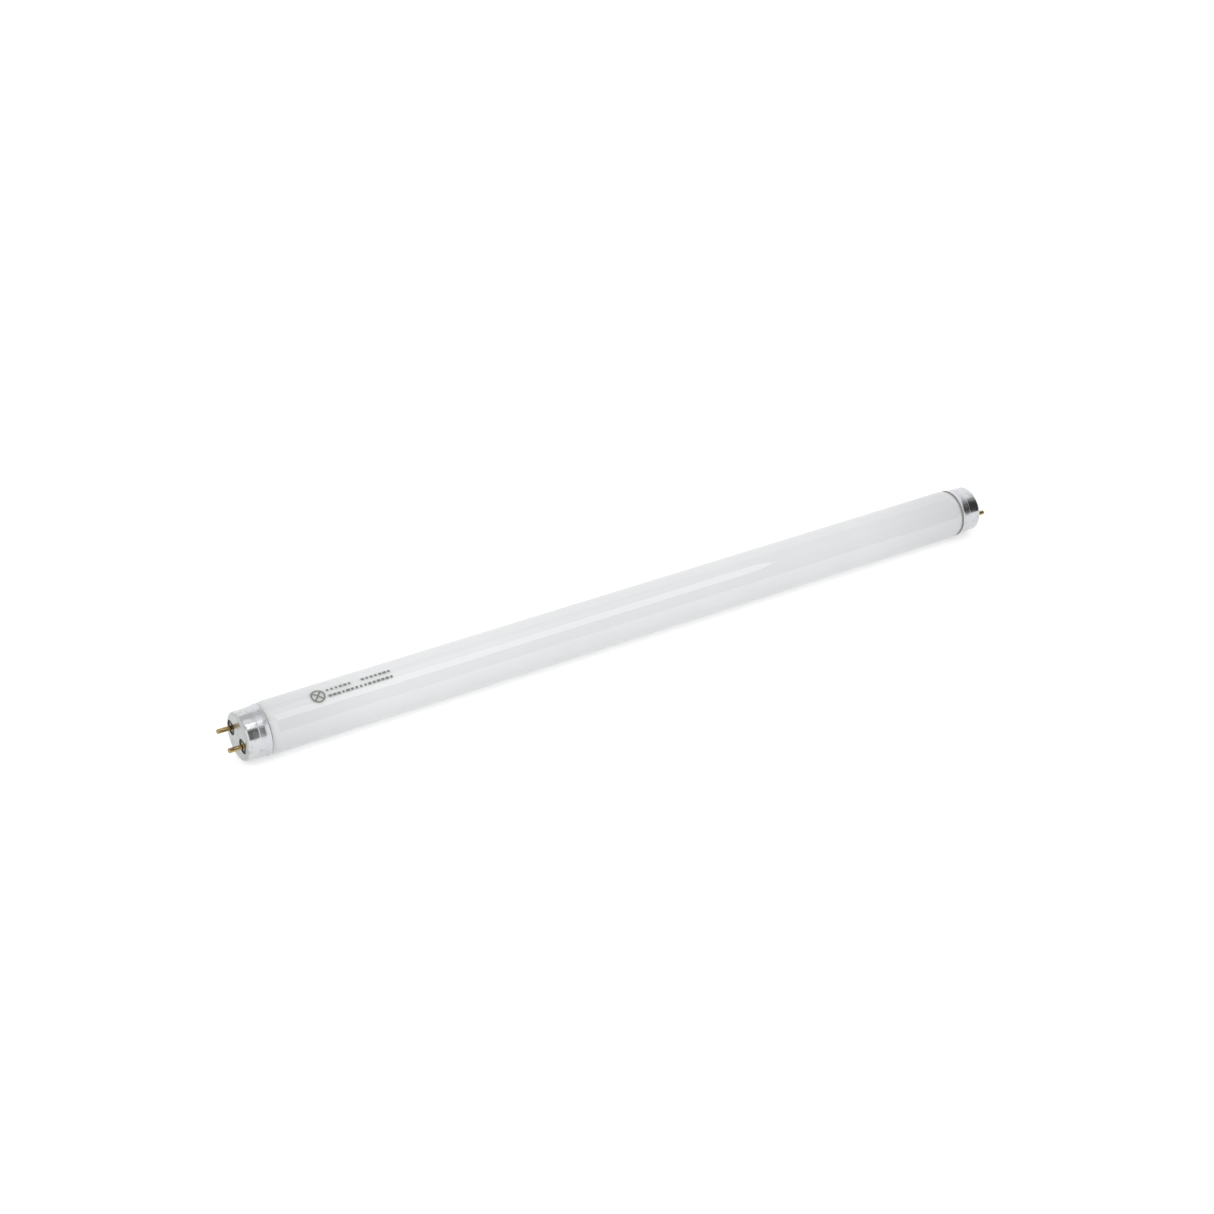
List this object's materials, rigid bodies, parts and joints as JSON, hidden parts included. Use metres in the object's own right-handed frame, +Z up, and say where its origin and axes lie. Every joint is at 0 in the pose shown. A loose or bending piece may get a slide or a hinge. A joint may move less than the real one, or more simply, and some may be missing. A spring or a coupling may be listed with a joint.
{
  "type": "fluorescent tube lamp",
  "caption": "Straight white glass tube lamp with necked ends, short aluminium caps and round brass contact pins.",
  "frame": {"origin": "middle of the lamp, on the axis of the glass tube", "axes": "+X along the lamp's axis, +Z up as the lamp lies, with the plane of the pins rolled 18 degrees out of level"},
  "size_m": [0.4516, 0.026, 0.026],
  "materials": {
    "glass": "clear soda-lime glass, drawn smooth",
    "phosphor": "fine matt powder coating, near white",
    "mercury": "liquid mirror",
    "cap_aluminium": "thin spun sheet, satin",
    "insulator": "moulded phenolic, dull",
    "pin_brass": "drawn brass, slightly oxidised",
    "cement": "baked resin cement with marble flour",
    "stem_glass": "flame-worked lead-free glass",
    "copper": "bare drawn copper wire",
    "dumet": "copper-clad wire, borated red",
    "nickel_iron": "nickel-plated iron wire",
    "tungsten": "coiled drawn tungsten",
    "oxide": "chalky emissive oxide"
  },
  "bodies": {
    "root": {"glass_tube": "glass", "phosphor_coating": "phosphor", "mercury_bead": "mercury", "left_cap_shell": "cap_aluminium", "left_cap_insulator": "insulator", "left_upper_pin": "pin_brass", "left_lower_pin": "pin_brass", "left_basing_cement": "cement", "left_stem": "stem_glass", "left_exhaust_tube": "stem_glass", "left_outer_leads": "copper", "left_press_leads": "dumet", "left_inner_leads": "nickel_iron", "left_filament": "tungsten", "left_emitter": "oxide", "right_cap_shell": "cap_aluminium", "right_cap_insulator": "insulator", "right_upper_pin": "pin_brass", "right_lower_pin": "pin_brass", "right_basing_cement": "cement", "right_stem": "stem_glass", "right_exhaust_tube": "stem_glass", "right_outer_leads": "copper", "right_press_leads": "dumet", "right_inner_leads": "nickel_iron", "right_filament": "tungsten", "right_emitter": "oxide"}
  },
  "joints": []
}
